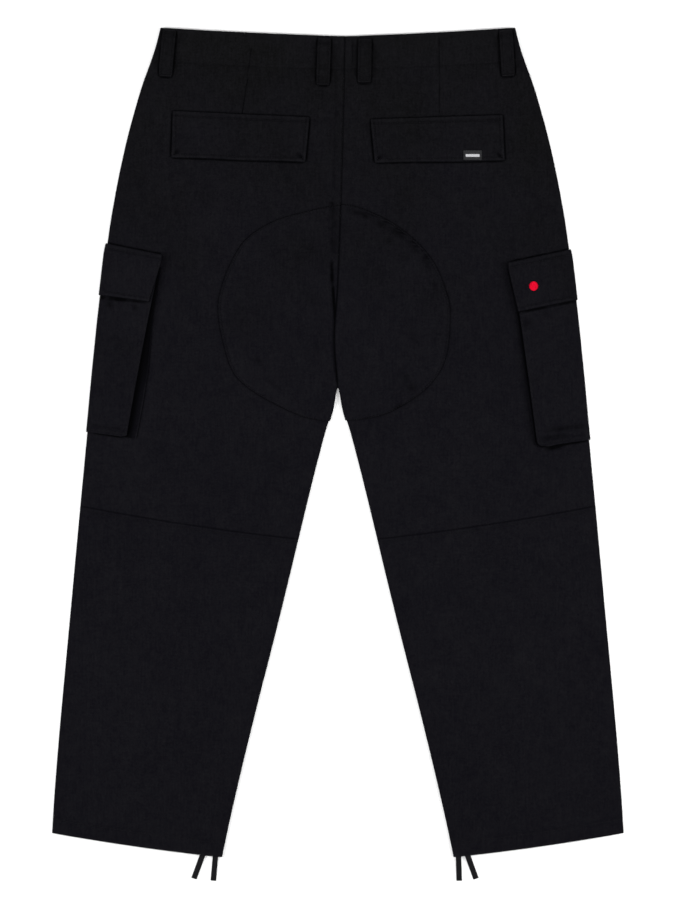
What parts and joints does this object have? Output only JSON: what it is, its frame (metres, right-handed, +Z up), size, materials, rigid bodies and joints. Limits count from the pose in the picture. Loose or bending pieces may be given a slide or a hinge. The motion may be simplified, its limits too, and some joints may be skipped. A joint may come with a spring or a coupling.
{
  "type": "cargo pants",
  "caption": "Black cotton cargo pants laid out flat, back up, with back and cargo pocket flaps, round seat patch, knee seams, belt loops and hem drawstrings.",
  "frame": {"origin": "on the surface that the pants lie on, under the middle of the garment's outline", "axes": "+Y towards the waist, +Z up from the surface through the back, +X towards the wearer's right leg"},
  "size_m": [0.7434, 1.1093, 0.0184],
  "materials": {
    "twill": "matt brushed cotton twill, black with a slight blue cast",
    "label": "smooth woven label",
    "cord": "flat braided cotton cord",
    "button": "dull black plastic"
  },
  "bodies": {
    "root": {"back_flap_L": "twill", "back_flap_R": "twill", "back_shin_L": "twill", "back_shin_R": "twill", "back_thigh_L": "twill", "back_thigh_R": "twill", "belt_loop_centre_L": "twill", "belt_loop_centre_R": "twill", "belt_loop_front_L": "twill", "belt_loop_front_R": "twill", "belt_loop_side_L": "twill", "belt_loop_side_R": "twill", "cargo_flap_L": "twill", "cargo_flap_R": "twill", "cargo_pocket_L": "twill", "cargo_pocket_R": "twill", "fly_placket": "twill", "front_shin_L": "twill", "front_shin_R": "twill", "front_thigh_L": "twill", "front_thigh_R": "twill", "seat_patch_L": "twill", "seat_patch_R": "twill", "waistband_back_L": "twill", "waistband_back_R": "twill", "waistband_front_L": "twill", "waistband_front_R": "twill", "flap_label": "label", "waist_button": "button", "hem_cord_L_outer": "cord", "hem_cord_L_inner": "cord", "hem_cord_R_inner": "cord", "hem_cord_R_outer": "cord"}
  },
  "joints": []
}
